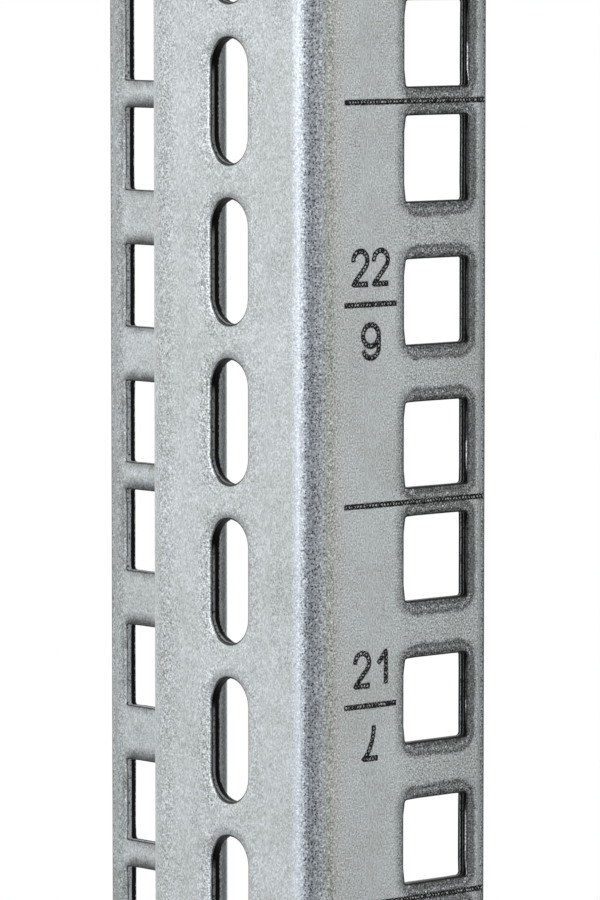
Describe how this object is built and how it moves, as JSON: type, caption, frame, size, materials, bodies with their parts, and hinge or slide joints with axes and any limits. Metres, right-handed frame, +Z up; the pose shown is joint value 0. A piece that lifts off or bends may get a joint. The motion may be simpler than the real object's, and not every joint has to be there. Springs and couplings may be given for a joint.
{
  "type": "vertical mounting rail",
  "caption": "Folded galvanised sheet-steel upright for a 19-inch cabinet, with square cage-nut holes in both flanges and upright slots in the web between them.",
  "frame": {"origin": "on the front face, on the line through the square-hole centres, at the foot of the lowest rack unit", "axes": "+Z up the rail, -Y out of the front face towards the equipment, +X along the front face towards its free edge"},
  "size_m": [0.0266, 0.0486, 1.2151],
  "materials": {
    "galvanised_steel": "matt galvanised zinc, finely mottled",
    "marking_ink": "black dot-printed ink"
  },
  "bodies": {
    "root": {"mounting_rail": "galvanised_steel"}
  },
  "joints": []
}
